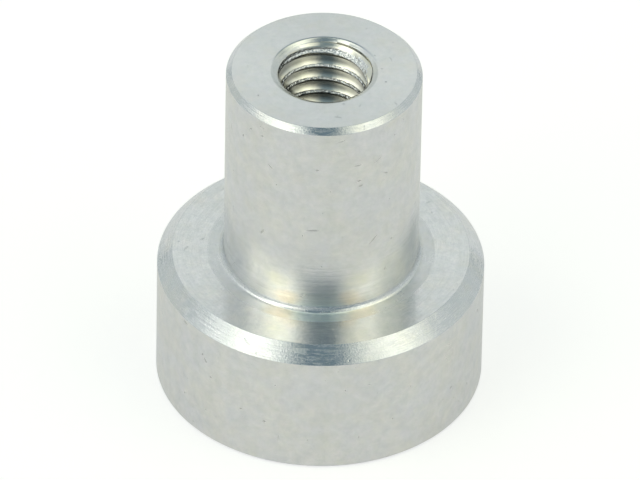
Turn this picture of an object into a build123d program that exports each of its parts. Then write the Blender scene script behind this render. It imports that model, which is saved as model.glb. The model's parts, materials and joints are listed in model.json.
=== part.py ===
# Pot magnet with a tapped neck.
#
# A pot and its neck are turned from one bar of steel. A round magnet sits in a seat bored into the
# underside of the pot, and a ring of hard resin fills the gap between the magnet and the pot's wall.
# The pot's rim stands a little proud of the magnet, so the part rests on the rim alone.
#
# Units are millimetres and degrees. The origin is the middle of the holding face at the bottom,
# and +Z runs up the axis, through the pot and out of the neck's tapped hole.

import os
from math import radians, tan

from build123d import *

# The pot
pot_diameter = 10.0
pot_height = 4.5  # holding face to shoulder
pot_wall = 0.8  # steel between the magnet's seat and the outside
shoulder_chamfer = 0.46  # at 45 degrees, round the top of the pot
rim_edge_break = 0.1  # the small chamfer round the bottom of the pot

# The neck
neck_diameter = 5.95  # a 6 mm neck, turned a little under size
neck_length = 7.0  # shoulder to end face
neck_chamfer = 0.17  # at 45 degrees, round the end face
root_fillet = 0.2  # left in the corner by the nose of the turning tool

# The tapped hole, for an M3 screw
thread_diameter = 3.0
thread_pitch = 0.5
countersink_lip = 0.12  # how far the countersink reaches past the thread, on each side
countersink_angle = 120.0
drill_point_angle = 118.0
steel_over_seat = 1.1  # solid steel left between the drill's point and the magnet's seat

# The magnet, as wide as the seat and the ring gap leave it
magnet_thickness = 3.0
magnet_edge_chamfer = 0.2  # at 45 degrees, on both edges
magnet_recess = 0.1  # how far the magnet lies above the holding face

# The gap between the magnet and the pot's wall, and the resin in it
ring_gap = 0.45
seat_corner_radius = 0.15  # left in the seat's corner by the boring tool
seat_mouth_chamfer = 0.1
resin_recess = 0.25  # how far the resin stops short of the magnet's face where it wets the walls
resin_sag = 0.12  # how much further in its surface lies halfway between the walls

# Sizes that follow from the ones above
pot_radius = pot_diameter / 2
neck_radius = neck_diameter / 2
shoulder_z = pot_height
neck_top_z = pot_height + neck_length
magnet_bottom_z = magnet_recess
seat_z = magnet_recess + magnet_thickness
seat_radius = pot_radius - pot_wall
magnet_radius = seat_radius - ring_gap
tap_drill_radius = (thread_diameter - thread_pitch) / 2
countersink_radius = thread_diameter / 2 + countersink_lip
countersink_depth = (countersink_radius - tap_drill_radius) / tan(radians(countersink_angle / 2))
drill_point_length = tap_drill_radius / tan(radians(drill_point_angle / 2))
drill_point_z = seat_z + steel_over_seat
hole_floor_z = drill_point_z + drill_point_length


def turned(*outline):
    """A turned solid. The outline is half of its section as (radius, height), spun round the Z axis."""
    section = make_face(Plane.XZ * (Curve() + list(outline)))
    return revolve(section, axis=Axis.Z)


def turned_blank():
    """The outside of the housing: rim, pot wall, chamfered shoulder, root fillet, neck and end face."""
    return turned(
        Polyline(
            (neck_radius + root_fillet, shoulder_z),
            (pot_radius - shoulder_chamfer, shoulder_z),
            (pot_radius, shoulder_z - shoulder_chamfer),
            (pot_radius, rim_edge_break),
            (pot_radius - rim_edge_break, 0),
            (0, 0),
            (0, neck_top_z),
            (neck_radius - neck_chamfer, neck_top_z),
            (neck_radius, neck_top_z - neck_chamfer),
            (neck_radius, shoulder_z + root_fillet),
        ),
        CenterArc((neck_radius + root_fillet, shoulder_z + root_fillet), root_fillet, 180, 90),
    )


def tapped_hole():
    """The blind hole in the neck: drill point, tap drill's wall and a countersunk mouth."""
    return turned(
        Polyline(
            (0, drill_point_z),
            (tap_drill_radius, hole_floor_z),
            (tap_drill_radius, neck_top_z - countersink_depth),
            (countersink_radius, neck_top_z),
            (0, neck_top_z),
            close=True,
        )
    )


def seat_corner_arc():
    """The rounded corner between the seat's flat end and its wall, shared by the steel and the resin."""
    middle = (seat_radius - seat_corner_radius, seat_z - seat_corner_radius)
    return CenterArc(middle, seat_corner_radius, 0, 90)


def magnet_seat():
    """The seat bored into the underside, with the tool's radius in its corner and a chamfered mouth."""
    return turned(
        Polyline(
            (seat_radius, seat_z - seat_corner_radius),
            (seat_radius, seat_mouth_chamfer),
            (seat_radius + seat_mouth_chamfer, 0),
            (0, 0),
            (0, seat_z),
            (seat_radius - seat_corner_radius, seat_z),
        ),
        seat_corner_arc(),
    )


def pot_housing():
    """The steel body, one piece from the holding rim to the end of the neck."""
    return turned_blank() - tapped_hole() - magnet_seat()


def magnet_disc():
    """The magnet: a flat disc with both its edges broken."""
    edge_x = magnet_radius - magnet_edge_chamfer
    return turned(
        Polyline(
            (0, magnet_bottom_z),
            (edge_x, magnet_bottom_z),
            (magnet_radius, magnet_bottom_z + magnet_edge_chamfer),
            (magnet_radius, seat_z - magnet_edge_chamfer),
            (edge_x, seat_z),
            (0, seat_z),
            close=True,
        )
    )


def resin_ring():
    """The resin round the magnet, up to the seat's corner. Its free surface sags between the walls."""
    wetted_z = magnet_bottom_z + resin_recess
    sagging_middle = (magnet_radius + ring_gap / 2, wetted_z + resin_sag)
    return turned(
        ThreePointArc((magnet_radius, wetted_z), sagging_middle, (seat_radius, wetted_z)),
        Line((seat_radius, wetted_z), (seat_radius, seat_z - seat_corner_radius)),
        seat_corner_arc(),
        Polyline(
            (seat_radius - seat_corner_radius, seat_z),
            (magnet_radius - magnet_edge_chamfer, seat_z),
            (magnet_radius, seat_z - magnet_edge_chamfer),
            (magnet_radius, wetted_z),
        ),
    )


pieces = {
    "pot_housing": pot_housing(),
    "magnet_disc": magnet_disc(),
    "resin_ring": resin_ring(),
}

os.makedirs("parts", exist_ok=True)
for name, piece in pieces.items():
    export_step(piece, f"parts/{name}.step")
    print(name, "volume", round(piece.volume, 2), "cubic mm")
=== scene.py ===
# %% [markdown]
# A pot magnet, seen close up.
#
# The real thing is 10 mm across and 11.5 mm high: a steel pot and neck turned from one bar and
# plated with zinc, with an M3 hole tapped into the neck and a round magnet potted into the
# underside. It is small, plain and shiny, so what makes it look real is what a lathe leaves
# behind: crisp little chamfers, rings of turning marks, a thread with sparkling crests, and a
# plating that isn't quite even. This lesson builds those surfaces from numpy grids, and lights
# them with a white tent.

import json
import math

import bpy
import numpy as np
from mathutils import Matrix, Vector


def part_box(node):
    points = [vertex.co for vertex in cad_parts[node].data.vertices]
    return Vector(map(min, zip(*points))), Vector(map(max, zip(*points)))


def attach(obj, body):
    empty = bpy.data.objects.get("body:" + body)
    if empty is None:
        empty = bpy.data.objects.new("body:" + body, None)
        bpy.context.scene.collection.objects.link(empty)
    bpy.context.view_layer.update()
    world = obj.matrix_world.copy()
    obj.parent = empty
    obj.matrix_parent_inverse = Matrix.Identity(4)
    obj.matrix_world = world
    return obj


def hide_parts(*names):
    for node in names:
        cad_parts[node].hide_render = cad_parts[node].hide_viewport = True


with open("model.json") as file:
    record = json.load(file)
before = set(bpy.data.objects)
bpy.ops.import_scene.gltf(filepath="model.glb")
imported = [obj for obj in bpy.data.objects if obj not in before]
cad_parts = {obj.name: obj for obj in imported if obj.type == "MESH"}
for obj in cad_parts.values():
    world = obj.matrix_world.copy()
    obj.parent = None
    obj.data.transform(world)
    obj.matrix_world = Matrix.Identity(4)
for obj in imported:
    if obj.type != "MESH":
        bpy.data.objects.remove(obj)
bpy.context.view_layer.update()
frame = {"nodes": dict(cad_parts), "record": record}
MM = 0.001

for node in sorted(frame["nodes"]):
    low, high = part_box(node)
    print(node, "from", [round(v / MM, 3) for v in low], "to", [round(v / MM, 3) for v in high])

# %% [markdown]
# Everything that the fixed solids already say is read from them and not typed again. The boxes
# give the heights and the widths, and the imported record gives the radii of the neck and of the
# tapped hole's bore. What neither tells, such as the height of the shoulder or the size of a
# chamfer, is a named value here.

# %% Sizes of the turned steel
housing_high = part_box("pot_housing")[1]
magnet_low, magnet_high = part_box("magnet_disc")
resin_low, resin_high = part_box("resin_ring")
mounts = {mount["name"]: mount for mount in frame["record"]["mounts"]}

POT_RADIUS = housing_high.x
TOP = housing_high.z
NECK_RADIUS = mounts["neck_outside"]["dims"]["r_mm"] * MM
CREST_RADIUS = mounts["tapped_hole"]["dims"]["r_mm"] * MM
MAGNET_RADIUS = magnet_high.x
MAGNET_FACE = magnet_low.z
SEAT = magnet_high.z
SEAT_RADIUS = resin_high.x
RESIN_EDGE = resin_low.z

SHOULDER = 4.5 * MM
SHOULDER_CHAMFER = 0.46 * MM
NECK_CHAMFER = 0.17 * MM
ROOT_FILLET = 0.2 * MM
RIM_BREAK = 0.1 * MM
SEAT_MOUTH = 0.1 * MM
SEAT_CORNER = 0.15 * MM
COUNTERSINK_RADIUS = 1.62 * MM
DRILL_POINT = 4.2 * MM
DRILL_ANGLE = math.radians(118)
HOLE_FLOOR = DRILL_POINT + CREST_RADIUS / math.tan(DRILL_ANGLE / 2)
print("radii of pot, neck and bore:", [r / MM for r in (POT_RADIUS, NECK_RADIUS, CREST_RADIUS)])

# %% [markdown]
# The camera looks down at 39 degrees through a long lens. Its place comes from fitting the outline
# of the real sizes to the photograph, so it is set by an elevation, a distance, a small roll and
# the point that it looks at. The lens then follows from how many pixels a millimetre takes up at
# that point.

# %% Camera
CAMERA_ELEVATION = math.radians(39.05)
CAMERA_ROLL = math.radians(1.111)
CAMERA_DISTANCE = 397 * MM
CAMERA_TARGET = Vector((-0.035, 0, 4.889)) * MM
PIXELS_PER_MM = 32.78
PICTURE_WIDTH = 640
SENSOR_WIDTH = 36
NEAREST_SEEN = 0.01
FURTHEST_SEEN = 10


def look_down_camera():
    """A camera on the -Y side.

    Its backward axis rises by the elevation, and the roll turns it about that axis.
    """
    backward = Vector((0, -math.cos(CAMERA_ELEVATION), math.sin(CAMERA_ELEVATION)))
    level_up = Vector((0, math.sin(CAMERA_ELEVATION), math.cos(CAMERA_ELEVATION)))
    level_right = Vector((1, 0, 0))
    right = level_right * math.cos(CAMERA_ROLL) + level_up * math.sin(CAMERA_ROLL)
    up = level_up * math.cos(CAMERA_ROLL) - level_right * math.sin(CAMERA_ROLL)
    data = bpy.data.cameras.new("camera")
    data.sensor_width = SENSOR_WIDTH
    data.lens = PIXELS_PER_MM * (CAMERA_DISTANCE / MM) * SENSOR_WIDTH / PICTURE_WIDTH
    data.clip_start = NEAREST_SEEN
    data.clip_end = FURTHEST_SEEN
    camera = bpy.data.objects.new("camera", data)
    turned = Matrix((right, up, backward)).transposed().to_4x4()
    camera.matrix_world = Matrix.Translation(CAMERA_TARGET + backward * CAMERA_DISTANCE) @ turned
    bpy.context.scene.collection.objects.link(camera)
    return camera


bpy.context.scene.camera = look_down_camera()
print("lens", round(bpy.context.scene.camera.data.lens), "mm")

# %% [markdown]
# A turned part is a profile spun round an axis. The profile is a list of corners, and every corner
# of a real part is rounded a little, if only by the plating. So a corner here has three numbers:
# radius, height, and how much it is rounded. The helper replaces each corner by an arc that
# touches both its sides, and splits long straight runs, so that later steps have points to move.


# %% Profiles with rounded corners
def rounded_profile(corners, arc_steps=3, longest_run=0.5 * MM):
    """Points along a polygon whose corners are arcs.

    With w the angle between a corner's two sides and q its rounding, the arc starts
    q / tan(w / 2) along each side, and its middle lies on the bisector, q / sin(w / 2)
    from the corner.
    """
    corners = np.array(corners, float)
    points = [corners[:1, :2]]
    for before, corner, after in zip(corners[:-2], corners[1:-1], corners[2:]):
        back = (before - corner)[:2] / np.linalg.norm((before - corner)[:2])
        onward = (after - corner)[:2] / np.linalg.norm((after - corner)[:2])
        half = np.arccos(np.clip(back @ onward, -1, 1)) / 2
        bisector = (back + onward) / np.linalg.norm(back + onward)
        middle = corner[:2] + bisector * corner[2] / np.sin(half)
        first = corner[:2] + back * corner[2] / np.tan(half) - middle
        last = corner[:2] + onward * corner[2] / np.tan(half) - middle
        sweep = np.pi - 2 * half
        share = np.linspace(0, 1, arc_steps + 1)[:, None]
        arc = (np.sin((1 - share) * sweep) * first + np.sin(share * sweep) * last) / np.sin(sweep)
        points.append(middle + arc)
    points.append(corners[-1:, :2])
    points = np.concatenate(points)
    runs = np.linalg.norm(np.diff(points, axis=0), axis=1)
    splits = np.maximum(1, np.ceil(runs / longest_run).astype(int))
    sides = zip(points[:-1], points[1:], splits)
    pieces = [a + (b - a) * np.arange(n)[:, None] / n for a, b, n in sides]
    return np.concatenate([*pieces, points[-1:]])


EDGE = 0.03 * MM
LIP = 0.05 * MM  # flat steel round the countersink that its rounded rim takes up
outside = rounded_profile(
    [
        (COUNTERSINK_RADIUS + LIP, TOP, 0),
        (NECK_RADIUS - NECK_CHAMFER, TOP, EDGE),
        (NECK_RADIUS, TOP - NECK_CHAMFER, EDGE),
        (NECK_RADIUS, SHOULDER, ROOT_FILLET),
        (POT_RADIUS - SHOULDER_CHAMFER, SHOULDER, EDGE),
        (POT_RADIUS, SHOULDER - SHOULDER_CHAMFER, EDGE),
        (POT_RADIUS, RIM_BREAK, EDGE),
        (POT_RADIUS - RIM_BREAK, 0, EDGE),
        (SEAT_RADIUS + SEAT_MOUTH, 0, EDGE),
        (SEAT_RADIUS, SEAT_MOUTH, EDGE),
        (SEAT_RADIUS, SEAT, SEAT_CORNER),
        (0, SEAT, 0),
    ]
)
print("outside profile:", len(outside), "points")

# %% [markdown]
# Spinning a profile gives a grid: one row of points for each profile point, one column for each
# angle. The grid is worked out as whole arrays. A mesh also needs faces, and they too are arrays
# of row and column numbers. Where rows shrink to one point, or two surfaces share a ring, points
# coincide, so the builder merges equal points and drops the faces that collapse.

# %% Grids and meshes
COLUMNS = 320
WELD = 0.00013 * MM  # points that round to the same multiples of this are one point
turn = np.arange(COLUMNS) * 2 * np.pi / COLUMNS


def spun(profile):
    """A grid of points: (r cos a, r sin a, z) for each profile point (r, z) and each angle a."""
    radius, height = profile[:, :1], profile[:, 1:]
    return np.stack([radius * np.cos(turn), radius * np.sin(turn), height + 0 * turn], axis=-1)


def grid_faces(rows, columns, closed):
    """Quads between neighbouring rows and columns. A closed grid's last column joins its first."""
    strips = columns if closed else columns - 1
    row, column = np.meshgrid(np.arange(rows - 1), np.arange(strips), indexing="ij")
    beside = (column + 1) % columns
    corners = [row * columns + column, (row + 1) * columns + column]
    corners += [(row + 1) * columns + beside, row * columns + beside]
    return np.stack(corners, axis=-1).reshape(-1, 4)


def welded(grids):
    """Points, quads and triangles of several (points, faces) grids joined into one.

    Equal points are merged. A quad with one merged side becomes a triangle, and one with more
    is dropped.
    """
    points_of, faces_of = zip(*grids)
    starts = np.cumsum([0] + [len(points) for points in points_of[:-1]])
    points = np.concatenate(points_of)
    faces = np.concatenate([faces + start for faces, start in zip(faces_of, starts)])
    keys = np.round(points / WELD).astype(np.int64)
    _, first, same = np.unique(keys, axis=0, return_index=True, return_inverse=True)
    faces = same.reshape(-1)[faces]
    repeated = faces == np.roll(faces, -1, axis=1)
    whole = faces[repeated.sum(axis=1) == 0]
    pinched = repeated.sum(axis=1) == 1
    triangles = faces[pinched][~repeated[pinched]].reshape(-1, 3)
    return points[first], whole, triangles


def skin_mesh(name, points, quads, triangles):
    """A smooth mesh. Each point's normal is the sum of its faces' normals times their areas."""
    mesh = bpy.data.meshes.new(name)
    mesh.from_pydata(points.tolist(), [], quads.tolist() + triangles.tolist())
    mesh.shade_smooth()
    padded = np.concatenate([quads, np.column_stack([triangles, triangles[:, -1]])])
    across = points[padded[:, 2]] - points[padded[:, 0]]
    along = points[padded[:, 3]] - points[padded[:, 1]]
    area_normals = np.cross(across, along)
    normals = np.zeros_like(points)
    for corner in range(4):
        np.add.at(normals, padded[:, corner], area_normals)
    normals /= np.linalg.norm(normals, axis=1, keepdims=True)
    mesh.normals_split_custom_set_from_vertices(normals.tolist())
    piece = bpy.data.objects.new(name, mesh)
    bpy.context.scene.collection.objects.link(piece)
    return piece


# %% [markdown]
# The thread is one long ramp. Its section repeats every pitch: a crest, a flank, a narrow root,
# and the other flank. The surface has two parameters, the angle along the ramp and the way across
# the section, and its rows follow the ramp, so that no edge is cut into steps. Four things make a
# real tapped hole look real. The first crest is worn to a taper at the mouth. The crests slant, so
# they catch the light from above. The tap tears them a little, so they sparkle. And far down,
# where the tap's lead ends, the groove fades out.

# %% Thread section
PITCH = 0.5 * MM
ROOT_RADIUS = 1.5 * MM
CREST_FLAT = 0.075 * MM
ROOT_FLAT = 0.08 * MM
FLANK = (PITCH - CREST_FLAT - ROOT_FLAT) / 2  # each flank's way along the axis
CREST_AT_BACK = 10.67 * MM  # height of a crest's middle on the +Y side
THREAD_END = 5.503 * MM
THREAD_FADE = 0.6 * MM
MOUTH_TAPER = 1.0  # the first crest is worn back by this much for each millimetre up
MOUTH_DEPTH = 0.44 * MM  # where the taper starts, below the end face
MOUTH_RISE = 0.15 * MM  # how far up the taper grows
COUNTERSINK_ANGLE = math.radians(120)
CONE_SLOPE = math.tan(COUNTERSINK_ANGLE / 2)
CONE_TOP_OF_THREAD = TOP - (COUNTERSINK_RADIUS - ROOT_RADIUS) / CONE_SLOPE
CREST_SLANT = 0.05 * MM
CREST_UPRIGHT = 0.02 * MM


def smooth_rise(value, start, end):
    """0 before the start, 1 after the end, and 3 t^2 - 2 t^3 between them."""
    share = np.clip((value - start) / (end - start), 0, 1)
    return share * share * (3 - 2 * share)


def mouth_radius(height):
    """The tap drill's wall, a short taper on the first crest, then the 120 degree countersink."""
    depth = TOP - height
    tapered = CREST_RADIUS + MOUTH_TAPER * np.clip(MOUTH_DEPTH - depth, 0, MOUTH_RISE)
    return np.maximum(tapered, COUNTERSINK_RADIUS - depth * CONE_SLOPE)


def section_depth(way):
    """How deep the groove is at a way across the pitch, which is 0 in the middle of a crest.

    The way is 1 at the next crest. A crest stands furthest into the hole at its lower end and
    falls back by CREST_SLANT towards its upper one, where the last stretch, CREST_UPRIGHT, is
    upright again, so that it mirrors the dark hole as a thin line.
    """
    full = ROOT_RADIUS - CREST_RADIUS
    share = np.clip((np.abs(way - 0.5) * PITCH - ROOT_FLAT / 2) / FLANK, 0, 1)
    below_middle = ((way + 0.5) % 1.0 - 0.5) * PITCH
    slanting = CREST_FLAT - CREST_UPRIGHT
    level = CREST_SLANT * np.clip((CREST_FLAT / 2 - below_middle) / slanting, 0, 1)
    return level + (full - level) * (1 - share)


print("groove:", (ROOT_RADIUS - CREST_RADIUS) / MM, "mm deep, flanks", FLANK / MM, "mm along")

# %% [markdown]
# The ramp has a row of points close to each bend of the section, so the bends stay crisp under
# smooth shading. It starts and ends with a plain ring: heights past the thread's ends are all
# moved to the end, where they merge with the ring of the surface that comes next. The rows at a
# way of 0 and of 1 are the same crest, one turn apart, so one is copied to the other.

# %% Thread ramp
CREST_TEAR = 0.005 * MM
TEAR_SEED = 7
BEND_GAP = 0.01 * MM  # rows of points stand this far on each side of a bend
WIDE_BEND_GAP = 0.015 * MM
SPARE_TURNS = 2


def section_ways():
    """The ways across the pitch that get a row: by each bend, and at thirds of each flank."""
    crest_end = CREST_FLAT / 2
    below = [0.5 * crest_end, crest_end - BEND_GAP, crest_end + BEND_GAP]
    above = [0.5 * crest_end, crest_end - CREST_UPRIGHT]
    above += [crest_end - 0.3 * CREST_UPRIGHT, crest_end + WIDE_BEND_GAP]
    on_flank = [crest_end + FLANK / 3, crest_end + 2 * FLANK / 3]
    near_root = [crest_end + FLANK - BEND_GAP, crest_end + FLANK + BEND_GAP]
    downward = np.array(below + on_flank + near_root) / PITCH
    upward = np.array(above + on_flank + near_root) / PITCH
    return np.concatenate([[0], downward, 1 - upward[::-1], [1]])


def torn_crest(steps, ways):
    """Random heights along the ramp, each smoothed with its two neighbours.

    They die out between 0.3 and 0.6 of the crest's width from its middle.
    """
    random = np.random.default_rng(TEAR_SEED).normal(size=len(steps))
    smooth = np.convolve(random, [0.25, 0.5, 0.25], mode="same")
    from_crest = np.minimum(ways, 1 - ways) * PITCH
    on_crest = 1 - smooth_rise(from_crest, 0.3 * CREST_FLAT, 0.6 * CREST_FLAT)
    return CREST_TEAR * smooth[None, :] * on_crest[:, None]


def thread_ramp():
    """The threaded wall.

    A row at way w and angle a lies at the height crest + pitch * (a / full turn - w).
    """
    ways = section_ways()
    turns_up = int(np.ceil((TOP - CREST_AT_BACK) / PITCH)) + SPARE_TURNS
    turns_down = int(np.ceil((CREST_AT_BACK - THREAD_END) / PITCH)) + SPARE_TURNS
    steps = np.arange(-turns_down * COLUMNS, turns_up * COLUMNS + 1)
    turns = (steps * 2 * np.pi / COLUMNS - np.pi / 2) / (2 * np.pi)
    height = CREST_AT_BACK + PITCH * (turns[None, :] - ways[:, None])
    height = np.clip(height, THREAD_END, CONE_TOP_OF_THREAD)
    way_there = (turns[None, :] - (height - CREST_AT_BACK) / PITCH) % 1.0
    fade = np.clip((height - THREAD_END) / THREAD_FADE, 0, 1)
    radius = CREST_RADIUS + section_depth(way_there) * fade
    radius = np.maximum(radius, mouth_radius(height))
    inside_ramp = (height > THREAD_END) & (height < CONE_TOP_OF_THREAD)
    radius += torn_crest(steps, ways) * inside_ramp
    radius[height == CONE_TOP_OF_THREAD] = ROOT_RADIUS
    column = steps % COLUMNS
    around = turn[column]
    grid = np.stack([radius * np.cos(around), radius * np.sin(around), height], axis=-1)
    grid[-1, COLUMNS:] = grid[0, :-COLUMNS]
    rows, columns = height.shape
    return grid.reshape(-1, 3), grid_faces(rows, columns, closed=False)[:, ::-1]


ramp_points, ramp_faces = thread_ramp()
print("thread:", len(ramp_faces), "quads before merging")

# %% [markdown]
# The housing is four surfaces that share rings of points: the outside with the magnet's seat, the
# countersink's rounded rim, the thread, and the plain bottom of the hole with its drill point.
# Joined, they close round the steel like the skin of the real part.

# %% Housing
COUNTERSINK_RIM = 0.12 * MM
plain_wall = [(CREST_RADIUS, z) for z in np.linspace(THREAD_END, HOLE_FLOOR, 4)]
halfway_down = (CREST_RADIUS * 0.5, (HOLE_FLOOR + DRILL_POINT) / 2)
hole_bottom = np.array(plain_wall + [halfway_down, (0, DRILL_POINT)])
mouth = rounded_profile(
    [
        (ROOT_RADIUS, CONE_TOP_OF_THREAD, 0),
        (COUNTERSINK_RADIUS, TOP, COUNTERSINK_RIM),
        (COUNTERSINK_RADIUS + LIP, TOP, 0),
    ]
)


def grid_of(profile, turned_out):
    """The spun profile as (points, faces). A wall that looks to the axis has its faces turned."""
    faces = grid_faces(len(profile), COLUMNS, closed=True)
    return spun(profile).reshape(-1, 3), faces if turned_out else faces[:, ::-1]


skin = [grid_of(outside, True), grid_of(mouth, True)]
skin += [(ramp_points, ramp_faces), grid_of(hole_bottom, False)]
housing = skin_mesh("pot_housing_turned", *welded(skin))
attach(housing, "root")
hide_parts("pot_housing")
print("housing:", len(housing.data.polygons), "faces")

# %% [markdown]
# The magnet and the resin are spun too. A sintered magnet is tumbled before it is plated, which
# rounds its edges. The resin creeps up both walls as it sets, so its free surface hangs in a
# shallow curve.

# %% Magnet and resin
MAGNET_EDGE = 0.2 * MM
TUMBLED_EDGE = 0.1 * MM
LONG_RUN = 1 * MM
magnet_side = rounded_profile(
    [
        (0, SEAT, 0),
        (MAGNET_RADIUS - MAGNET_EDGE, SEAT, EDGE),
        (MAGNET_RADIUS, SEAT - MAGNET_EDGE, EDGE),
        (MAGNET_RADIUS, MAGNET_FACE + MAGNET_EDGE, TUMBLED_EDGE),
        (MAGNET_RADIUS - MAGNET_EDGE, MAGNET_FACE, TUMBLED_EDGE),
        (0, MAGNET_FACE, 0),
    ],
    longest_run=LONG_RUN,
)
magnet = skin_mesh("magnet_disc_plated", *welded([grid_of(magnet_side, True)]))
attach(magnet, "root")
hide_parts("magnet_disc")

RESIN_SAG = 0.12 * MM
gap_middle = (MAGNET_RADIUS + SEAT_RADIUS) / 2
half_gap = (SEAT_RADIUS - MAGNET_RADIUS) / 2
across_gap = np.linspace(-1, 1, 9)
sagging = RESIN_EDGE + RESIN_SAG * (1 - across_gap**2)
resin_surface = np.column_stack([gap_middle + half_gap * across_gap, sagging])
resin_walls = rounded_profile(
    [
        (MAGNET_RADIUS, RESIN_EDGE, 0),
        (MAGNET_RADIUS, SEAT - MAGNET_EDGE, EDGE),
        (MAGNET_RADIUS - MAGNET_EDGE, SEAT, EDGE),
        (SEAT_RADIUS, SEAT, SEAT_CORNER),
        (SEAT_RADIUS, RESIN_EDGE, 0),
    ],
    longest_run=LONG_RUN,
)
resin_skin = [grid_of(resin_walls, True), grid_of(resin_surface, False)]
resin = skin_mesh("resin_ring_cured", *welded(resin_skin))
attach(resin, "root")
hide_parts("resin_ring")
print("magnet and resin:", len(magnet.data.polygons), "and", len(resin.data.polygons), "faces")

# %% [markdown]
# The finishes are node groups, and wiring nodes by hand takes a lot of lines. A few small helpers
# keep it short: one adds a node and fills its inputs, and the others add the maths that is used
# most. An input may be a plain number, or the output of another node, which is then linked.


# %% Node helpers
def fill(tree, socket, value):
    """Links the socket to another node's output, or sets its plain value."""
    if isinstance(value, bpy.types.NodeSocket):
        tree.links.new(value, socket)
    else:
        socket.default_value = value


def fill_all(tree, sockets, values):
    """Fills each socket that the values name."""
    for name, value in values.items():
        fill(tree, sockets[name], value)


def add_node(tree, kind, inputs=None, **settings):
    """A node with its settings and its named inputs filled in."""
    node = tree.nodes.new(kind)
    for name, value in settings.items():
        setattr(node, name, value)
    fill_all(tree, node.inputs, inputs or {})
    return node


def maths(tree, operation, *terms):
    """The output of a Math node that works on up to three terms."""
    node = add_node(tree, "ShaderNodeMath", operation=operation)
    for socket, term in zip(node.inputs, terms):
        fill(tree, socket, term)
    return node.outputs[0]


def times(tree, first, second):
    """The output of a Math node that multiplies."""
    return maths(tree, "MULTIPLY", first, second)


def vector_maths(tree, operation, *terms):
    """The output of a Vector Math node: a number for a dot product or length, else a vector."""
    node = add_node(tree, "ShaderNodeVectorMath", operation=operation)
    sockets = [node.inputs[0], node.inputs["Scale"]] if operation == "SCALE" else node.inputs
    for socket, term in zip(sockets, terms):
        fill(tree, socket, term)
    return node.outputs["Value" if operation in ("DOT_PRODUCT", "LENGTH") else "Vector"]


def smooth_step(tree, value, start, end):
    """0 up to start, 1 from end on, and a smooth S between them."""
    inputs = {"Value": value, "From Min": start, "From Max": end}
    node = add_node(tree, "ShaderNodeMapRange", inputs, interpolation_type="SMOOTHSTEP")
    return node.outputs["Result"]


# %% [markdown]
# A noise runs from 0 to 1 round a middle of 0.5, so most patterns here swing a value round its
# middle. Colours are mixed with a Mix node, and a Bump node turns heights into the tilt of the
# surface. A group is a node tree with named inputs and outputs, built once and used by every
# finish.


# %% Helpers for colours, noise, relief and groups
NOISE_MIDDLE = 0.5


def swing(tree, pattern, amount, middle):
    """The middle value, moved by a pattern from 0 to 1: middle + amount * (pattern - 0.5)."""
    off_middle = maths(tree, "SUBTRACT", pattern, NOISE_MIDDLE)
    return maths(tree, "MULTIPLY_ADD", off_middle, amount, middle)


def blend_colours(tree, share, first, second, blend_type="MIX"):
    """The first colour where the share is 0, and the second where it is 1."""
    node = add_node(tree, "ShaderNodeMix", data_type="RGBA", blend_type=blend_type)
    colours = [socket for socket in node.inputs if socket.type == "RGBA"]
    fill(tree, node.inputs["Factor"], share)
    fill(tree, colours[0], first)
    fill(tree, colours[1], second)
    return [socket for socket in node.outputs if socket.type == "RGBA"][0]


def noise(tree, position, size, detail, roughness=0.5):
    """A Noise Texture whose lumps are about the size given."""
    inputs = {"Vector": position, "Detail": detail, "Roughness": roughness}
    node = add_node(tree, "ShaderNodeTexNoise", inputs)
    fill(tree, node.inputs["Scale"], maths(tree, "DIVIDE", 1.0, size))
    return node.outputs


def relief(tree, layers):
    """The normal of a surface with a height that is the sum of (pattern, depth in mm) layers."""
    height = 0.0
    for pattern, depth in layers:
        height = maths(tree, "MULTIPLY_ADD", pattern, depth, height)
    bump = add_node(tree, "ShaderNodeBump", {"Height": height, "Strength": 1.0, "Distance": MM})
    return bump.outputs["Normal"]


def new_group(name, inputs, outputs):
    """A node group, from its inputs' names and usual values and its outputs' names and kinds."""
    tree = bpy.data.node_groups.new(name, "ShaderNodeTree")
    for socket_name, usual in inputs.items():
        kind = "NodeSocketColor" if isinstance(usual, tuple) else "NodeSocketFloat"
        socket = tree.interface.new_socket(socket_name, in_out="INPUT", socket_type=kind)
        socket.default_value = usual
    for socket_name, kind in outputs.items():
        tree.interface.new_socket(socket_name, in_out="OUTPUT", socket_type="NodeSocket" + kind)
    given = tree.nodes.new("NodeGroupInput").outputs
    return tree, given, tree.nodes.new("NodeGroupOutput").inputs


def use_group(tree, group, inputs=None):
    """The outputs of a group placed in a material, with its inputs filled in."""
    return add_node(tree, "ShaderNodeGroup", inputs, node_tree=group).outputs


# %% [markdown]
# Turned metal is best described by where a point lies round the axis, out from it and along it. A
# lathe's marks are rings, so they change only with the last two, while a knock or a scratch has a
# place on the ring as well. This group reads them all from the Object coordinates, in millimetres.


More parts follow.
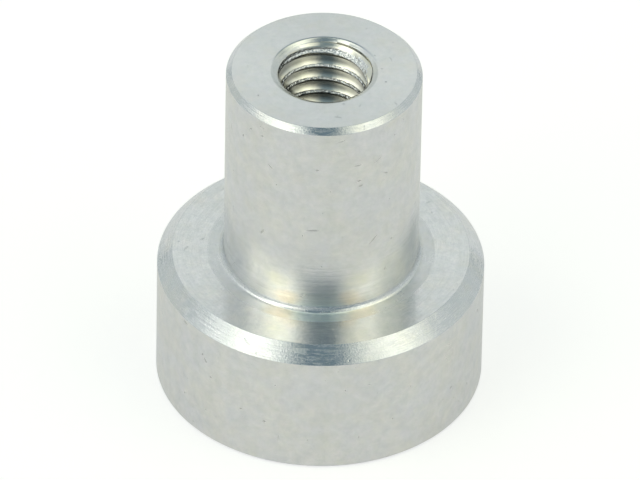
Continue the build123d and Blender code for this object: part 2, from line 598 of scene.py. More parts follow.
# %% Place on the turned part
def place_group():
    """From Axis is the length of (x, y), and Around is the angle from the front, in degrees.

    Outward is (x, y, 0) with its length made 1, and Ring Way is a quarter turn from it.
    """
    kinds = {"Position": "Vector", "Outward": "Vector", "Ring Way": "Vector"}
    kinds |= {"From Axis": "Float", "Height": "Float", "Around": "Float"}
    tree, _, result = new_group("place on the turned part", {}, kinds)
    in_metres = tree.nodes.new("ShaderNodeTexCoord").outputs["Object"]
    position = vector_maths(tree, "SCALE", in_metres, 1 / MM)
    sideways = vector_maths(tree, "MULTIPLY", position, (1, 1, 0))
    outward = vector_maths(tree, "NORMALIZE", sideways)
    xyz = add_node(tree, "ShaderNodeSeparateXYZ", {"Vector": position}).outputs
    around = maths(tree, "ARCTAN2", xyz["X"], times(tree, xyz["Y"], -1.0))
    ring_way = vector_maths(tree, "CROSS_PRODUCT", (0, 0, 1), outward)
    from_axis = vector_maths(tree, "LENGTH", sideways)
    fill_all(tree, result, {"Position": position, "Outward": outward, "Ring Way": ring_way})
    fill_all(tree, result, {"From Axis": from_axis, "Height": xyz["Z"]})
    fill(tree, result["Around"], maths(tree, "DEGREES", around))
    return tree


PLACE = place_group()
print("place:", [socket.name for socket in PLACE.interface.items_tree])

# %% [markdown]
# Turning marks are the path of the tool's nose: ring after ring, one for each turn of the bar.
# They are never quite alike, because the tool chatters and the chip rubs. A noise that is
# stretched far along the rings gives this. Across Axis and Along Axis say how the profile runs:
# along the axis on a wall, across it on a face, and both ways at once on a chamfer.


# %% Turning marks
def turning_marks_group():
    """Noise of (ring, x, y). Ring is the way along the profile in feeds, and x and y drift."""
    usual = {"Across Axis": 0.0, "Along Axis": 1.0, "Feed": 0.1, "Drift": 0.25}
    tree, given, result = new_group("turning marks", usual, {"Ridges": "Float"})
    place = use_group(tree, PLACE)
    way = times(tree, place["From Axis"], given["Across Axis"])
    way = maths(tree, "MULTIPLY_ADD", place["Height"], given["Along Axis"], way)
    drifting = vector_maths(tree, "SCALE", place["Position"], given["Drift"])
    xyz = add_node(tree, "ShaderNodeSeparateXYZ", {"Vector": drifting}).outputs
    rings = maths(tree, "DIVIDE", way, given["Feed"])
    stretched = add_node(tree, "ShaderNodeCombineXYZ", {"X": rings, "Y": xyz["X"], "Z": xyz["Y"]})
    ridges = noise(tree, stretched.outputs[0], 1.0, detail=3.0, roughness=0.65)["Fac"]
    fill(tree, result["Ridges"], ridges)
    return tree


TURNING_MARKS = turning_marks_group()
print("turning marks:", len(TURNING_MARKS.nodes), "nodes")

# %% [markdown]
# The zinc is passivated in a bath that leaves a film thinner than light's wavelength. Where the
# film is a little thicker it looks straw yellow, and where it is thinner it looks blue. The change
# is faint and cloudy, so a soft noise moves the colour between the two. The crystals of the zinc
# itself are finer: they mottle the surface in specks of a few tenths of a millimetre and less,
# each a shade lighter, darker or pinker.


# %% Passivated zinc
THIN_BELOW = 0.3
THICK_ABOVE = 0.7


def plating_group():
    """Thin Film blends to Thick Film with the clouds, and then the mottle multiplies it.

    The mottle is 1 + Mottle * (noise - 0.5), and Tint does the same for red, green and blue
    apart.
    """
    usual = {"Thin Film": (0.757, 0.77, 0.785, 1), "Thick Film": (0.785, 0.781, 0.757, 1)}
    usual |= {"Lean": 0.0, "Cloud Size": 0.9, "Mottle Size": 0.35, "Mottle": 0.1, "Tint": 0.05}
    kinds = {"Colour": "Color", "Cloud": "Float", "Mottling": "Float"}
    tree, given, result = new_group("plating", usual, kinds)
    position = use_group(tree, PLACE)["Position"]
    cloud = noise(tree, position, given["Cloud Size"], detail=3.0, roughness=0.6)["Fac"]
    mottling = noise(tree, position, given["Mottle Size"], detail=4.0, roughness=0.8)
    thick = smooth_step(tree, maths(tree, "ADD", cloud, given["Lean"]), THIN_BELOW, THICK_ABOVE)
    film = blend_colours(tree, thick, given["Thin Film"], given["Thick Film"])
    shades = vector_maths(tree, "SUBTRACT", mottling["Color"], (NOISE_MIDDLE,) * 3)
    shades = vector_maths(tree, "SCALE", shades, given["Tint"])
    shaded = vector_maths(tree, "ADD", shades, (1, 1, 1))
    brightness = swing(tree, mottling["Fac"], given["Mottle"], 1.0)
    mottled = vector_maths(tree, "SCALE", shaded, brightness)
    colour = vector_maths(tree, "MULTIPLY", film, mottled)
    fill_all(tree, result, {"Colour": colour, "Cloud": cloud, "Mottling": mottling["Fac"]})
    return tree


PLATING = plating_group()
print("plating:", len(PLATING.nodes), "nodes")

# %% [markdown]
# Small parts are plated together in a barrel, so they knock against each other. Each knock leaves
# a tiny pit, and dirt and painted shade darken some of them. A Voronoi texture scatters points at
# random: near a point lies a pit, and each cell's own random colour decides whether it has one at
# all, and how large it is.


# %% Pits from the plating barrel
SIZE_RANGE = 0.8  # a random size runs from 0.2 to 1 of the full one
SIZE_MIDDLE = 0.6
FLAT_PART = 0.3  # of a pit's reach


def scattered(tree, position, spacing):
    """The outputs of a Voronoi texture, and three random numbers for each of its cells."""
    cells = add_node(tree, "ShaderNodeTexVoronoi", {"Vector": position, "Randomness": 1.0})
    fill(tree, cells.inputs["Scale"], maths(tree, "DIVIDE", 1.0, spacing))
    luck = add_node(tree, "ShaderNodeSeparateColor", {"Color": cells.outputs["Color"]}).outputs
    return cells.outputs, luck


def pits_group():
    """A pit where the distance to a cell's point is below Radius times a random size.

    A Share of the cells has one. Its Depth is the square of a random number.
    """
    usual = {"Spacing": 0.4, "Radius": 0.05, "Share": 0.4}
    tree, given, result = new_group("pits", usual, {"Pit": "Float", "Depth": "Float"})
    cell, luck = scattered(tree, use_group(tree, PLACE)["Position"], given["Spacing"])
    chosen = maths(tree, "LESS_THAN", luck["Red"], given["Share"])
    size = swing(tree, luck["Green"], SIZE_RANGE, SIZE_MIDDLE)
    radius = maths(tree, "DIVIDE", given["Radius"], given["Spacing"])
    reach = times(tree, radius, size)
    flat_part = times(tree, reach, FLAT_PART)
    pit = times(tree, chosen, smooth_step(tree, cell["Distance"], reach, flat_part))
    depth = times(tree, luck["Blue"], luck["Blue"])
    fill_all(tree, result, {"Pit": pit, "Depth": times(tree, pit, depth)})
    return tree


PITS = pits_group()
print("pits:", len(PITS.nodes), "nodes")

# %% [markdown]
# Longer marks come from sliding past another part's edge. Each is a short stroke, bent a little,
# at any angle. The stroke is drawn in the surface's own two directions, along the ring and along
# the profile, measured from the cell's point and turned by a random angle. So it works alike on a
# wall and a face.


# %% Scratches
MARK_FADES_FROM = 0.4  # of the way from a mark's middle to its edge
MARK_ENDS = 1.3


def turned_flat(tree, x, y, angle):
    """The point (x, y) of the flattened surface, turned by an angle."""
    flat = add_node(tree, "ShaderNodeCombineXYZ", {"X": x, "Y": y}).outputs[0]
    inputs = {"Vector": flat, "Angle": angle}
    return add_node(tree, "ShaderNodeVectorRotate", inputs, rotation_type="Z_AXIS").outputs[0]


def scratches_group():
    """1 in a stroke round the cell's point and 0 outside it.

    With a = u / Length along the stroke and b = v / Width across it, the stroke is where
    a^2 + (b + Bend * a^2)^2 is below 1. Both directions are turned from the ring's and the
    profile's by the cell's random angle.
    """
    usual = {"Across Axis": 0.0, "Along Axis": 1.0, "Spacing": 1.0, "Length": 0.15}
    usual |= {"Width": 0.02, "Share": 0.4, "Bend": 1.0}
    tree, given, result = new_group("scratches", usual, {"Scratch": "Float"})
    place = use_group(tree, PLACE)
    cell, luck = scattered(tree, place["Position"], given["Spacing"])
    from_point = vector_maths(tree, "SUBTRACT", place["Position"], cell["Position"])
    along_ring = vector_maths(tree, "DOT_PRODUCT", from_point, place["Ring Way"])
    outward = vector_maths(tree, "DOT_PRODUCT", from_point, place["Outward"])
    upward = vector_maths(tree, "DOT_PRODUCT", from_point, (0, 0, 1))
    along_profile = times(tree, outward, given["Across Axis"])
    along_profile = maths(tree, "MULTIPLY_ADD", upward, given["Along Axis"], along_profile)
    angle = times(tree, luck["Red"], 2 * math.pi)
    turned = turned_flat(tree, along_ring, along_profile, angle)
    uv = add_node(tree, "ShaderNodeSeparateXYZ", {"Vector": turned}).outputs
    size = swing(tree, luck["Green"], SIZE_RANGE, SIZE_MIDDLE)
    length = times(tree, given["Length"], size)
    u = maths(tree, "DIVIDE", uv["X"], length)
    v = maths(tree, "DIVIDE", uv["Y"], given["Width"])
    u_squared = times(tree, u, u)
    bent = maths(tree, "MULTIPLY_ADD", u_squared, given["Bend"], v)
    from_stroke = maths(tree, "MULTIPLY_ADD", bent, bent, u_squared)
    stroke = smooth_step(tree, from_stroke, MARK_ENDS, MARK_FADES_FROM)
    chosen = maths(tree, "LESS_THAN", luck["Blue"], given["Share"])
    fill(tree, result["Scratch"], times(tree, stroke, chosen))
    return tree


SCRATCHES = scratches_group()
print("scratches:", len(SCRATCHES.nodes), "nodes")

# %% [markdown]
# A few marks are large enough to be told apart on this very part. They get a place of their own,
# by the angle round the axis and the height, as someone would who inspects the part and writes a
# list. The same group places the tints at the neck's root, which paint the reflections of the
# lamps and of the gap between them, in patches of a known place and size too.


# %% Knocks
KNOCK_NUMBERS = ("Angle", "Height", "Half Length", "Half Width", "Tilt")


def knock_group():
    """1 in an ellipse and 0 outside it, with lengths in millimetres and angles in degrees.

    Angle and Height place its middle, and Tilt turns its long axis from the ring.
    """
    usual = dict.fromkeys(KNOCK_NUMBERS, 0.0)
    tree, given, result = new_group("knock", usual, {"Knock": "Float"})
    place = use_group(tree, PLACE)
    turned_by = maths(tree, "RADIANS", maths(tree, "SUBTRACT", place["Around"], given["Angle"]))
    along_ring = times(tree, turned_by, place["From Axis"])
    upward = maths(tree, "SUBTRACT", place["Height"], given["Height"])
    back = times(tree, maths(tree, "RADIANS", given["Tilt"]), -1.0)
    turned = turned_flat(tree, along_ring, upward, back)
    half_sizes = {"X": given["Half Length"], "Y": given["Half Width"], "Z": 1.0}
    sizes = add_node(tree, "ShaderNodeCombineXYZ", half_sizes).outputs[0]
    from_middle = vector_maths(tree, "LENGTH", vector_maths(tree, "DIVIDE", turned, sizes))
    knock = smooth_step(tree, from_middle, MARK_ENDS, MARK_FADES_FROM)
    fill(tree, result["Knock"], knock)
    return tree


def knock_mask(tree, numbers):
    """The mask of one knock or tint in a material, from its five numbers."""
    return use_group(tree, KNOCK, dict(zip(KNOCK_NUMBERS, numbers)))["Knock"]


KNOCK = knock_group()
print("knock:", len(KNOCK.nodes), "nodes")

# %% [markdown]
# Each row gives the angle from the front and the height of a mark's middle, half its length, half
# its width, and its tilt from the ring. A tint multiplies the metal's colour, so values above 1
# brighten. The straw tints are painted reflections of the lamps, and the blue one is a painted
# reflection of the gap between them.

# %% Places of knocks and tints
# colours of painted reflections: blue for the gap between the lamps, straw for the lamps
GAP_REFLECTION_BLUE = (1.1, 1.2, 1.22, 1)
LAMP_REFLECTION_STRAW = (1.06, 0.99, 0.89, 1)
PALE_LAMP_REFLECTION_STRAW = (1.01, 1.0, 0.93, 1)
neck_knocks = [
    (-54, 10.31, 0.06, 0.04, 60),
    (-38, 10.77, 0.05, 0.03, 20),
    (-32, 9.75, 0.10, 0.025, -40),
    (-3, 9.99, 0.05, 0.035, 0),
    (21, 10.05, 0.11, 0.025, 5),
    (22, 9.45, 0.07, 0.03, 10),
    (23, 9.25, 0.08, 0.035, 10),
    (40, 9.4, 0.09, 0.025, -30),
    (-37, 7.1, 0.12, 0.04, 60),
    (-5, 7.65, 0.19, 0.03, 4),
    (32, 7.0, 0.19, 0.03, 45),
    (41, 5.66, 0.06, 0.03, 60),
]
pot_knocks = [
    (-54.5, 3.92, 0.11, 0.04, -10),
    (-45, 3.2, 0.07, 0.03, 60),
    (-43.5, 3.03, 0.09, 0.04, -50),
    (-41, 2.5, 0.05, 0.04, 0),
    (-28, 1.82, 0.05, 0.03, 30),
    (-19, 1.6, 0.05, 0.04, 0),
    (54, 1.59, 0.06, 0.03, 20),
    (74, 3.36, 0.07, 0.05, 30),
]
# painted reflections of the lamps on the neck's root
neck_reflection_tints = [
    ((-20, 4.95, 0.5, 0.25, 0), LAMP_REFLECTION_STRAW),
    ((-25, 5.5, 0.45, 0.3, 0), PALE_LAMP_REFLECTION_STRAW),
    ((17, 5.0, 0.35, 0.3, 0), LAMP_REFLECTION_STRAW),
    ((22, 5.6, 0.5, 0.35, 0), PALE_LAMP_REFLECTION_STRAW),
]
# painted reflections on the shoulder's dull band: straw for the lamps, blue for the gap
root_reflection_tints = [
    ((-23, 4.5, 0.5, 1, 0), LAMP_REFLECTION_STRAW),
    ((24, 4.5, 0.45, 1, 0), LAMP_REFLECTION_STRAW),
    ((-1, 4.5, 1.0, 1, 0), GAP_REFLECTION_BLUE),
]
print("knocks:", len(neck_knocks + pot_knocks), "and tints:", len(neck_reflection_tints + root_reflection_tints))

# %% [markdown]
# Some places need more than the plating and its marks. Round the neck's root the tool dwelt, which
# leaves a duller band. On it and on the neck just above, straw and blue tints paint the
# reflections of the lamps and of the gap between them. The lowest part of the neck is streaked. On
# the chamfers, and a little on the shoulder, the cut is torn, so the roughness jumps along broken
# rings. And painted shade darkens a thread's roots, which gives each turn of the thread its dark
# upper half. Each of these is a layer that takes a colour or a roughness and gives it back
# changed.


# %% Layers that only some places need
RING_STREAKS = 0.03
ROOT_STREAKS_END = 5.9  # heights and radii in this cell are in millimetres
ROOT_STREAKS_FULL = 4.9
OUTSIDE_NECK = 3.1
TORN_FEED = 0.05
TORN_DRIFT = 2.5
TORN_FROM = 0.44
TORN_TO = 0.56
# painted shade darkens the thread's roots between these radii
ROOT_SHADE_FROM = (CREST_RADIUS + 0.07 * MM) / MM
ROOT_SHADE_FULL = (ROOT_RADIUS - 0.08 * MM) / MM
ROOT_SHADE_TOP = TOP / MM - 0.3  # above this height the roots get no painted shade
ROOT_SHADE_TOP_FULL = TOP / MM - 0.6  # and below this one they get it fully


def streaked(tree, colour, place, rings, root_streaks):
    """The colour, made lighter and darker along the rings, and more so at the neck's root."""
    low_down = smooth_step(tree, place["Height"], ROOT_STREAKS_END, ROOT_STREAKS_FULL)
    on_neck = maths(tree, "LESS_THAN", place["From Axis"], OUTSIDE_NECK)
    on_root = times(tree, low_down, on_neck)
    amount = maths(tree, "MULTIPLY_ADD", on_root, root_streaks, RING_STREAKS)
    return vector_maths(tree, "SCALE", colour, swing(tree, rings, amount, 1.0))


def torn_roughness(tree, rough, way, torn):
    """The roughness, moved up and down along short rings that break off."""
    inputs = way | {"Feed": TORN_FEED, "Drift": TORN_DRIFT}
    broken_rings = use_group(tree, TURNING_MARKS, inputs)["Ridges"]
    return swing(tree, smooth_step(tree, broken_rings, TORN_FROM, TORN_TO), torn, rough)


def reflection_tinted(tree, colour, reflection_tints, share):
    """The colour, multiplied by each tint inside that tint's patch, where the share is 1; the
    tints are painted reflections.
    """
    for numbers, tint in reflection_tints:
        patch = times(tree, share, knock_mask(tree, numbers))
        colour = blend_colours(tree, patch, colour, tint, "MULTIPLY")
    return colour


def painted_root_shade(tree, colour, place, root_shade):
    """The colour, darkened with painted shade in the thread's roots, but not close to the mouth.
    """
    root = smooth_step(tree, place["From Axis"], ROOT_SHADE_FROM, ROOT_SHADE_FULL)
    below_mouth = smooth_step(tree, place["Height"], ROOT_SHADE_TOP, ROOT_SHADE_TOP_FULL)
    root_shading = times(tree, times(tree, root, below_mouth), -root_shade)
    return vector_maths(tree, "SCALE", colour, maths(tree, "ADD", root_shading, 1.0))


# %% [markdown]
# One function makes every steel finish, because they are the same metal cut in different
# directions. The shader is fully metallic. Its highlight is drawn out across the rings, as on any
# turned surface, which Blender calls anisotropy. That value is plain, so it sits on the shader
# itself and not in a group. Dirt and painted shade make a mark dark, and its dent shows too,
# because it mirrors another part of the tent. Rings, grain, pits and scratches are heights, and
# one Bump node takes their sum.


# %% Steel finish
TURNED_ACROSS_RINGS = 0.25  # a quarter turn from the ring direction
# dark colour of dirt and painted shade in knocks, scratches and pits
DIRT_AND_SHADE = (0.3, 0.3, 0.28, 1)
MOTTLE_TINT = 0.07
CLOUD_ROUGHNESS = 0.1
PIT_DEPTH = 0.006
SCRATCH_DEPTH = 0.003
DWELL_EDGE = 0.05  # width of the dull band's soft edge
DWELL_ROUGHNESS = 0.14
SCRATCH_DARKENING = 0.3
PIT_DARKENING = 0.9
DIRT_AND_SHADE_SHARE = 0.4
DIRT_ROUGHNESS = 0.2


def new_material(name, metallic):
    """A new material, its node tree and its shader."""
    material = bpy.data.materials.new(name)
    material.use_nodes = True
    shader = material.node_tree.nodes["Principled BSDF"]
    shader.inputs["Metallic"].default_value = metallic
    return material, material.node_tree, shader


def dress(tree, shader, colour, rough, layers):
    """Wires a colour, a roughness and the relief of the layers into the shader."""
    normal = relief(tree, layers)
    fill_all(tree, shader.inputs, {"Base Color": colour, "Roughness": rough, "Normal": normal})


def largest(tree, patterns):
    """The largest of several patterns at each point."""
    most = 0.0
    for pattern in patterns:
        most = maths(tree, "MAXIMUM", pattern, most)
    return most


def steel_finish(
    name,
    profile_way,
    roughness,
    stretch,
    film=None,
    mottle=0.3,
    feed=0.1,
    ring_depth=0.001,
    grain_size=0.11,
    grain_depth=0.0015,
    root_streaks=0.0,
    torn=0.0,
    pit_share=0.6,
    scratch_share=0.3,
    knocks=(),
    # painted reflections, each as (knock numbers, tint)
    reflection_tints=(),
    tool_dwell=None,
    # how strongly painted shade darkens the thread's roots
    root_shade=0.0,
):
    """Plated turned steel. The profile way is (across, along) the axis.

    Feed, depths and sizes are in millimetres, and tool_dwell is the radius of the dull band.
    """
    material, tree, shader = new_material(name, metallic=1)
    place = use_group(tree, PLACE)
    way = {"Across Axis": profile_way[0], "Along Axis": profile_way[1]}
    rings = use_group(tree, TURNING_MARKS, way | {"Feed": feed})["Ridges"]
    inputs = {"Mottle": mottle, "Tint": MOTTLE_TINT} | (film or {})
    plating = use_group(tree, PLATING, inputs)
    pits = use_group(tree, PITS, {"Share": pit_share})
    scratch = use_group(tree, SCRATCHES, way | {"Share": scratch_share})["Scratch"]
    grain = noise(tree, place["Position"], grain_size, detail=2.0)["Fac"]
    colour = streaked(tree, plating["Colour"], place, rings, root_streaks)
    rough = swing(tree, plating["Cloud"], CLOUD_ROUGHNESS, roughness)
    if torn:
        rough = torn_roughness(tree, rough, way, torn)
    band = 1.0
    if tool_dwell:
        band = smooth_step(tree, place["From Axis"], tool_dwell, tool_dwell - DWELL_EDGE)
        rough = maths(tree, "MULTIPLY_ADD", band, DWELL_ROUGHNESS, rough)
    # painted reflections of the lamps and of the gap between them
    colour = reflection_tinted(tree, colour, reflection_tints, band)
    # painted shade in the thread's roots
    if root_shade:
        colour = painted_root_shade(tree, colour, place, root_shade)
    marks = [knock_mask(tree, knock) for knock in knocks]
    marks.append(times(tree, scratch, SCRATCH_DARKENING))
    marks.append(times(tree, pits["Depth"], PIT_DARKENING))
    # dirt and painted shade in knocks, scratches and pits
    dirt_and_shade = largest(tree, marks)
    colour = blend_colours(tree, times(tree, dirt_and_shade, DIRT_AND_SHADE_SHARE), colour, DIRT_AND_SHADE)
    rough = maths(tree, "MULTIPLY_ADD", dirt_and_shade, DIRT_ROUGHNESS, rough)
    layers = [(rings, ring_depth), (grain, grain_depth)]
    layers += [(pits["Pit"], -PIT_DEPTH), (scratch, -SCRATCH_DEPTH)]
    dress(tree, shader, colour, rough, layers)
    shader.inputs["Anisotropic"].default_value = stretch
    shader.inputs["Anisotropic Rotation"].default_value = TURNED_ACROSS_RINGS
    return material


# %% [markdown]
# The seven finishes differ in what the tool left. The walls have wide clouds, all the knocks and
# the painted lamp reflections, and the end face is the flattest. The chamfers are torn, the flanks
# of the thread are smooth under a straw film with painted shade in their roots, and its crests are
# torn into a coarse grain, which makes them sparkle. After the name and the way of the profile
# come the roughness and how far the highlight is drawn out.

# %% Seven finishes of the steel
blue_film = {"Lean": -0.1}
cloudy_film = {"Thin Film": (0.763, 0.768, 0.785, 1), "Thick Film": (0.786, 0.782, 0.752, 1)}
cloudy_film |= {"Cloud Size": 1.1}
pale_blue_film = {"Thin Film": (0.76, 0.78, 0.82, 1), "Thick Film": (0.8, 0.8, 0.79, 1)}
pale_blue_film |= blue_film
straw_film = {"Lean": 0.3, "Thick Film": (0.87, 0.86, 0.79, 1)}
along, across, sloping, on_the_cone = (0, 1), (1, 0), (0.7, -0.7), (0.87, 0.5)
steel = {
    "walls": steel_finish(
        "zinc on turned walls", along, 0.25, 0.7, film=cloudy_film, mottle=0.35, feed=0.12,
        ring_depth=0.005, root_streaks=0.4, pit_share=0.85, scratch_share=0.15,
        # the neck's root carries painted reflections of the lamps
        knocks=neck_knocks + pot_knocks, reflection_tints=neck_reflection_tints,
    ),
    "end face": steel_finish(
        "zinc on the neck's end", across, 0.2, 0.55, film=blue_film, mottle=0.18,
        ring_depth=0.0005, grain_depth=0.001, pit_share=0.8, scratch_share=0.2,
    ),
    "shoulder": steel_finish(
        "zinc on the shoulder", across, 0.18, 0.52, film=blue_film, ring_depth=0.004,
        # the shoulder's dull band carries painted reflections of the lamps and the gap
        grain_depth=0.002, torn=0.08, reflection_tints=root_reflection_tints, tool_dwell=3.5,
    ),
    "chamfers": steel_finish(
        "zinc on chamfers", sloping, 0.17, 0.4, film=pale_blue_film, feed=0.07,
        ring_depth=0.004, grain_size=0.055, grain_depth=0.0035, torn=0.24,
    ),
    "flanks": steel_finish(
        "zinc in the thread", along, 0.15, 0.3, film=straw_film, ring_depth=0.0005,
        # the roots between the flanks get painted shade
        scratch_share=0, root_shade=0.6,
    ),
    "torn crests": steel_finish(
        "zinc on torn crests", along, 0.16, 0.0, film=pale_blue_film, grain_size=0.075,
        grain_depth=0.045, pit_share=0, scratch_share=0,
    ),
    "countersink": steel_finish(
        "zinc on the countersink", on_the_cone, 0.2, 0.4, film=blue_film, feed=0.05,
        ring_depth=0.005, grain_depth=0.001, scratch_share=0,
    ),
}
print("steel finishes:", list(steel))

# %% [markdown]
# Which finish a face gets depends only on where it is and which way it looks, so the whole array
# of faces is sorted at once: on a wall, on the neck's end or the shoulder, or sloping between. In
# the hole it is the way across the thread's pitch that tells a crest from a flank.


# %% Which finish goes where
LEVEL = 0.95  # how upright the normal of a level face is at least, 1 being straight up or down
STEEP = 0.2  # and that of a wall at most
CREST_MARGIN = 0.004 * MM
WORN_MARGIN = 0.012 * MM
CONE_MARGIN = 0.03 * MM


def face_zones(mesh):
    """The number of each face's finish, in the order of the steel finishes.

    It follows from the face's middle and from how upright its normal is.
    """
    count = len(mesh.polygons)
    middle = np.empty(count * 3)
    normal = np.empty(count * 3)
    mesh.polygons.foreach_get("center", middle)
    mesh.polygons.foreach_get("normal", normal)
    x, y, height = middle.reshape(-1, 3).T
    upright = np.abs(normal[2::3])
    from_axis = np.hypot(x, y)
    in_hole = (from_axis < COUNTERSINK_RADIUS) & (height > DRILL_POINT - EDGE)
    around = np.arctan2(y, x) - np.pi / 2
    way = (around / (2 * np.pi) - (height - CREST_AT_BACK) / PITCH) % 1.0
    near_crest = np.minimum(way, 1 - way) * PITCH < CREST_FLAT / 2 + CREST_MARGIN
    worn = (np.abs(from_axis - mouth_radius(height)) < WORN_MARGIN) & (height > TOP - MOUTH_DEPTH)
    crest = in_hole & (near_crest | worn) & (height > THREAD_END)
    from_cone = np.abs(from_axis - COUNTERSINK_RADIUS + (TOP - height) * CONE_SLOPE)
    rules = {
        "countersink": in_hole & (from_cone < CONE_MARGIN) & (upright < LEVEL),
        "end face": (upright > LEVEL) & (height > TOP - EDGE),
        "torn crests": crest,
        "flanks": in_hole,
        "walls": upright < STEEP,
        "shoulder": upright > LEVEL,
    }
    order = list(steel)
    numbers = [order.index(kind) for kind in rules]
    return np.select(list(rules.values()), numbers, order.index("chamfers"))


for finish in steel.values():
    housing.data.materials.append(finish)
zones = face_zones(housing.data)
housing.data.polygons.foreach_set("material_index", zones.astype(np.int32))
print("faces with each finish:", dict(zip(steel, np.bincount(zones).tolist())))

# %% [markdown]
# The magnet is nickel plated, which is warmer and greyer than zinc. It was tumbled, not turned, so
# it has no rings: an even satin grain, and many pits. The resin is black, and not a metal. It set
# in the open, so its skin has slow waves, dust has stuck to it, and a few bubbles left pinholes.


# %% Nickel and resin
NICKEL_PIT_DARKENING = 0.7
NICKEL_GRAIN = 0.008
NICKEL_PIT_DEPTH = 0.008
NICKEL_ROUGHNESS = 0.3
NICKEL_ROUGHNESS_SWING = 0.2
RESIN_ROUGHNESS = 0.45
RESIN_ROUGHNESS_SWING = 0.35
WAVE_SIZE = 2 / 3
WAVE_DEPTH = 0.05
BUBBLE_DEPTH = 0.03
DUST_SIZE = 1 / 12
DUST_DEPTH = 0.003
DUST_FROM = 0.45
DUST_FULL = 0.8
RESIN_BLACK = (0.018, 0.018, 0.02, 1)
DUST_GREY = (0.11, 0.105, 0.1, 1)


def nickel_finish():
    """A satin metal whose grain is a fine noise, with pits and short scratches."""
    material, tree, shader = new_material("satin nickel", metallic=1)
    film = {"Thin Film": (0.6, 0.59, 0.56, 1), "Thick Film": (0.66, 0.63, 0.58, 1)}
    plating = use_group(tree, PLATING, film | {"Mottle": 0.12})
    pits = use_group(tree, PITS, {"Share": 0.6})
    level = {"Across Axis": 1.0, "Along Axis": 0.0}
    scratch = use_group(tree, SCRATCHES, level | {"Share": 0.7})["Scratch"]
    # dirt and painted shade in the pits
    dirt_and_shade = times(tree, pits["Depth"], NICKEL_PIT_DARKENING)
    colour = blend_colours(tree, dirt_and_shade, plating["Colour"], DIRT_AND_SHADE)
    rough = swing(tree, plating["Mottling"], NICKEL_ROUGHNESS_SWING, NICKEL_ROUGHNESS)
    layers = [(plating["Mottling"], NICKEL_GRAIN)]
    layers += [(pits["Pit"], -NICKEL_PIT_DEPTH), (scratch, -SCRATCH_DEPTH)]
    dress(tree, shader, colour, rough, layers)
    return material


def resin_finish():
    """Black resin. A slow noise waves its skin, and a fine one lays pale dust on it."""
    material, tree, shader = new_material("black resin", metallic=0)
    position = use_group(tree, PLACE)["Position"]
    waves = noise(tree, position, WAVE_SIZE, detail=1.0)["Fac"]
    dust = noise(tree, position, DUST_SIZE, detail=4.0)["Fac"]
    bubble = use_group(tree, PITS, {"Spacing": 0.5, "Radius": 0.08, "Share": 0.5})["Pit"]
    dusty = smooth_step(tree, dust, DUST_FROM, DUST_FULL)
    colour = blend_colours(tree, dusty, RESIN_BLACK, DUST_GREY)
    rough = swing(tree, dusty, RESIN_ROUGHNESS_SWING, RESIN_ROUGHNESS)
    layers = [(waves, WAVE_DEPTH), (dust, DUST_DEPTH), (bubble, -BUBBLE_DEPTH)]
    dress(tree, shader, colour, rough, layers)
    return material


magnet.data.materials.append(nickel_finish())
resin.data.materials.append(resin_finish())
print("magnet and resin finished")

# %% [markdown]
# The part stands on a sheet of white acrylic that is lit from below as well as from above, as on a
# table for catalogue pictures. The light from below softens the part's own shadow to a thin line.
# In such a picture the white is then cleared, so that only the part is left on it. The sheet does
# this with a little more glow for camera rays alone, so the metal still mirrors the sheet as it
# was.


# %% Floor
FLOOR_HALF = 1.5
FLOOR_GLOW = 0.288
FLOOR_CLEARING = 0.29
FLOOR_ROUGHNESS = 0.8
FLOOR_MOTTLE = 1 / 0.15
COOL_WHITE = (0.595, 0.6, 0.605, 1)
WARM_WHITE = (0.605, 0.6, 0.595, 1)


def acrylic_finish():
    """White sheet: a diffuse colour with a very faint mottle, and an even glow from below."""
    material, tree, shader = new_material("white acrylic sheet", metallic=0)
    position = use_group(tree, PLACE)["Position"]
    mottle = noise(tree, position, FLOOR_MOTTLE, detail=2.0)["Fac"]
    colour = blend_colours(tree, mottle, COOL_WHITE, WARM_WHITE)
    fill(tree, shader.inputs["Base Color"], colour)
    shader.inputs["Roughness"].default_value = FLOOR_ROUGHNESS
    shader.inputs["Emission Color"].default_value = (1, 1, 1, 1)
    seen = tree.nodes.new("ShaderNodeLightPath").outputs["Is Camera Ray"]
    glow = maths(tree, "MULTIPLY_ADD", seen, FLOOR_CLEARING, FLOOR_GLOW)
    fill(tree, shader.inputs["Emission Strength"], glow)
    return material


floor_mesh = bpy.data.meshes.new("floor")
signs = [(-1, -1), (1, -1), (1, 1), (-1, 1)]
floor_corners = [(x * FLOOR_HALF, y * FLOOR_HALF, 0) for x, y in signs]
floor_mesh.from_pydata(floor_corners, [], [(0, 1, 2, 3)])
floor_mesh.materials.append(acrylic_finish())
floor = bpy.data.objects.new("floor", floor_mesh)
bpy.context.scene.collection.objects.link(floor)
print("floor", FLOOR_HALF * 2, "m square")

# %% [markdown]
# Shiny metal shows what stands round it. A product like this is shot in a white tent with a soft
# lamp on each side of the camera, and the gap between the lamps, where the camera stands, is
# darker. That gap makes the dark streak down the middle of each chamfer. The world is built in the
# same way: an even glow, and on it soft-edged panels, each with its own place, size and
# brightness.


# %% Tent and lamps
PANEL_NUMBERS = ("Azimuth", "Elevation", "Half Width", "Half Height", "Side Rim", "End Rim")


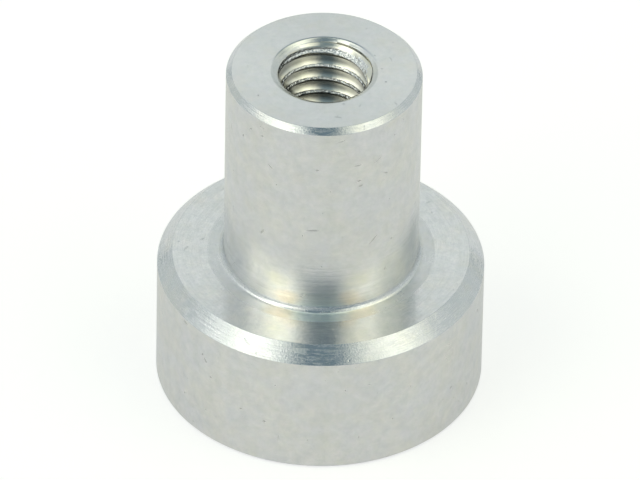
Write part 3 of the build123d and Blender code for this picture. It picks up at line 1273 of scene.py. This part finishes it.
def soft_panel_group():
    """1 inside a panel and 0 outside, with soft rims. All its numbers are in degrees.

    Each way, the light falls from 1 to 0 in an S, from the half size less the rim to the half
    size plus the rim.
    """
    usual = dict.fromkeys(PANEL_NUMBERS, 0.0)
    tree, given, result = new_group("soft panel", usual, {"Lit": "Float"})
    direction = tree.nodes.new("ShaderNodeTexCoord").outputs["Generated"]
    xyz = add_node(tree, "ShaderNodeSeparateXYZ", {"Vector": direction}).outputs
    azimuth = maths(tree, "ARCTAN2", xyz["X"], times(tree, xyz["Y"], -1.0))
    elevation = maths(tree, "DEGREES", maths(tree, "ARCSINE", xyz["Z"]))
    turned_off = maths(tree, "SUBTRACT", maths(tree, "DEGREES", azimuth), given["Azimuth"])
    sideways = maths(tree, "ABSOLUTE", maths(tree, "WRAP", turned_off, 180.0, -180.0))
    upwards = maths(tree, "ABSOLUTE", maths(tree, "SUBTRACT", elevation, given["Elevation"]))
    inside = []
    ways = [(sideways, "Half Width", "Side Rim"), (upwards, "Half Height", "End Rim")]
    for off, half, rim in ways:
        outer = maths(tree, "ADD", given[half], given[rim])
        inner = maths(tree, "SUBTRACT", given[half], given[rim])
        inside.append(smooth_step(tree, off, outer, inner))
    fill(tree, result["Lit"], times(tree, *inside))
    return tree


SOFT_PANEL = soft_panel_group()
CAMERA_GAP_GLOW = (0.169, 0.233, 0.26, 1)
panels = {
    "left lamp": ((-43.5, 35.1, 17.4, 18.2, 17.1, 18.2), (1.56, 1.535, 1.259)),
    "right lamp": ((48.5, 41.7, 23.5, 17.3, 15, 3), (0.72, 0.69, 0.54)),
    "left roof": ((-79, 89.9, 17.8, 47.2, 16.6, 13.2), (1.738, 1.706, 1.382)),
    "right roof": ((89.3, 80.2, 30.4, 36.2, 30.4, 17.9), (1.33, 1.295, 0.945)),
    "back wall": ((216.6, 46.1, 67.5, 10.1, 4.9, 10.1), (0.455, 0.446, 0.423)),
    "low wall": ((192.8, 20.9, 156.4, 19.5, 25.3, 3), (0.425, 0.407, 0.348)),
}
world = bpy.data.worlds.new("tent")
bpy.context.scene.world = world
world.use_nodes = True
sky = world.node_tree
glow = CAMERA_GAP_GLOW
for numbers, colour in panels.values():
    panel = use_group(sky, SOFT_PANEL, dict(zip(PANEL_NUMBERS, numbers)))
    glow = blend_colours(sky, panel["Lit"], glow, (*colour, 1), blend_type="ADD")
fill(sky, sky.nodes["Background"].inputs["Color"], glow)
bpy.context.scene.view_settings.view_transform = "Standard"
print("panels:", list(panels))

# %% [markdown]
